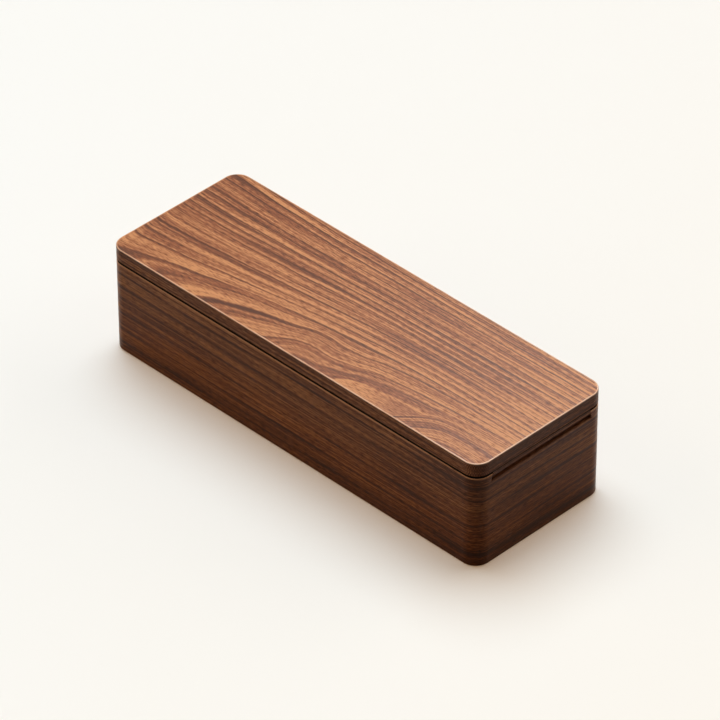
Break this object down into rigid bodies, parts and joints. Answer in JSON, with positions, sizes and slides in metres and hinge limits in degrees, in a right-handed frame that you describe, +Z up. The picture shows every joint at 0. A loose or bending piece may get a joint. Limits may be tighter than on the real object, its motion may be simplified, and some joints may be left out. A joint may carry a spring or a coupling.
{
  "type": "keepsake box",
  "caption": "Long walnut keepsake box with rounded corners and a flush lid that slides out over its lowered end.",
  "frame": {"origin": "middle of the footprint, on the surface that the box stands on", "axes": "+Z up, +X along the box towards the lowered end that the lid slides out over, +Y across to the back wall"},
  "size_m": [0.24, 0.084, 0.059],
  "materials": {
    "walnut_walls": "satin oil",
    "walnut_splines": "raw",
    "walnut_panel": "satin oil",
    "walnut_lid": "satin oil",
    "felt": "pressed wool felt"
  },
  "bodies": {
    "box": {"front_wall": "walnut_walls", "back_wall": "walnut_walls", "closed_end_wall": "walnut_walls", "open_end_wall": "walnut_walls", "mitre_spline_front_left": "walnut_splines", "mitre_spline_front_right": "walnut_splines", "mitre_spline_back_right": "walnut_splines", "mitre_spline_back_left": "walnut_splines", "bottom_panel": "walnut_panel", "felt_liner": "felt"},
    "lid": {"sliding_lid": "walnut_lid"}
  },
  "joints": [
    {"name": "lid_slide", "type": "slide", "parent": "box", "child": "lid", "axis": [1, 0, 0], "range_m": [0, 0.24]}
  ]
}
